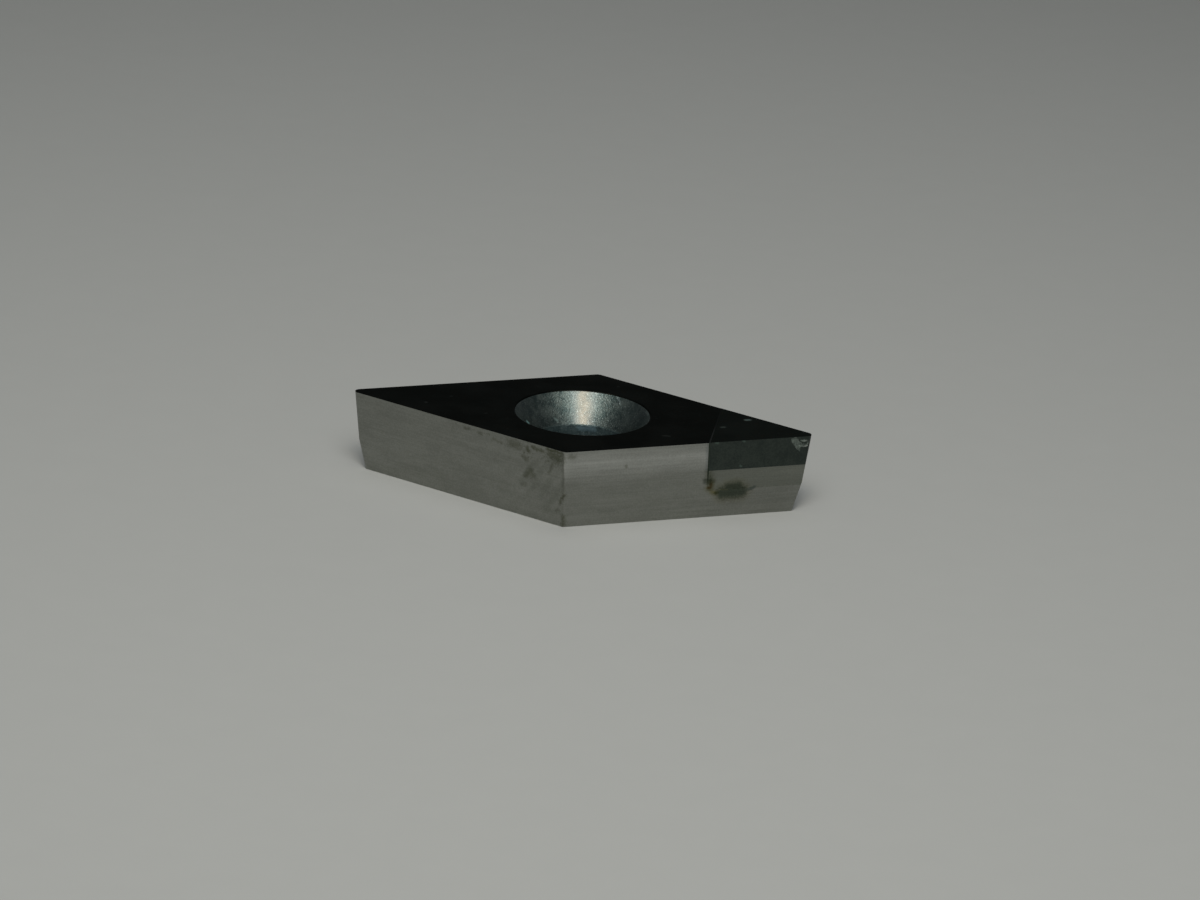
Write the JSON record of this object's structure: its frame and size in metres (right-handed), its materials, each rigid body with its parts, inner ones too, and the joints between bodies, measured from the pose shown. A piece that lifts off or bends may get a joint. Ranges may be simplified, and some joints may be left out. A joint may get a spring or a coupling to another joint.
{
  "type": "brazed-tip boring insert",
  "caption": "Rhombic 55 degree boring insert with relief flanks, a countersunk screw hole and a cbn tip brazed into one acute corner.",
  "frame": {"origin": "on the screw hole's axis, in the seat face", "axes": "+Z along the screw hole from the seat face to the top face, +X along the long diagonal towards the cbn nose"},
  "size_m": [0.0134, 0.0072, 0.0024],
  "materials": {
    "ground_carbide": "ground flanks, lapped dark top face",
    "cbn": "fine ground, dark",
    "backing_carbide": "ground",
    "braze": "dull, tarnished"
  },
  "bodies": {
    "root": {"carbide_body": "ground_carbide", "cbn_layer": "cbn", "tip_backing": "backing_carbide", "braze_joint": "braze"}
  },
  "joints": []
}
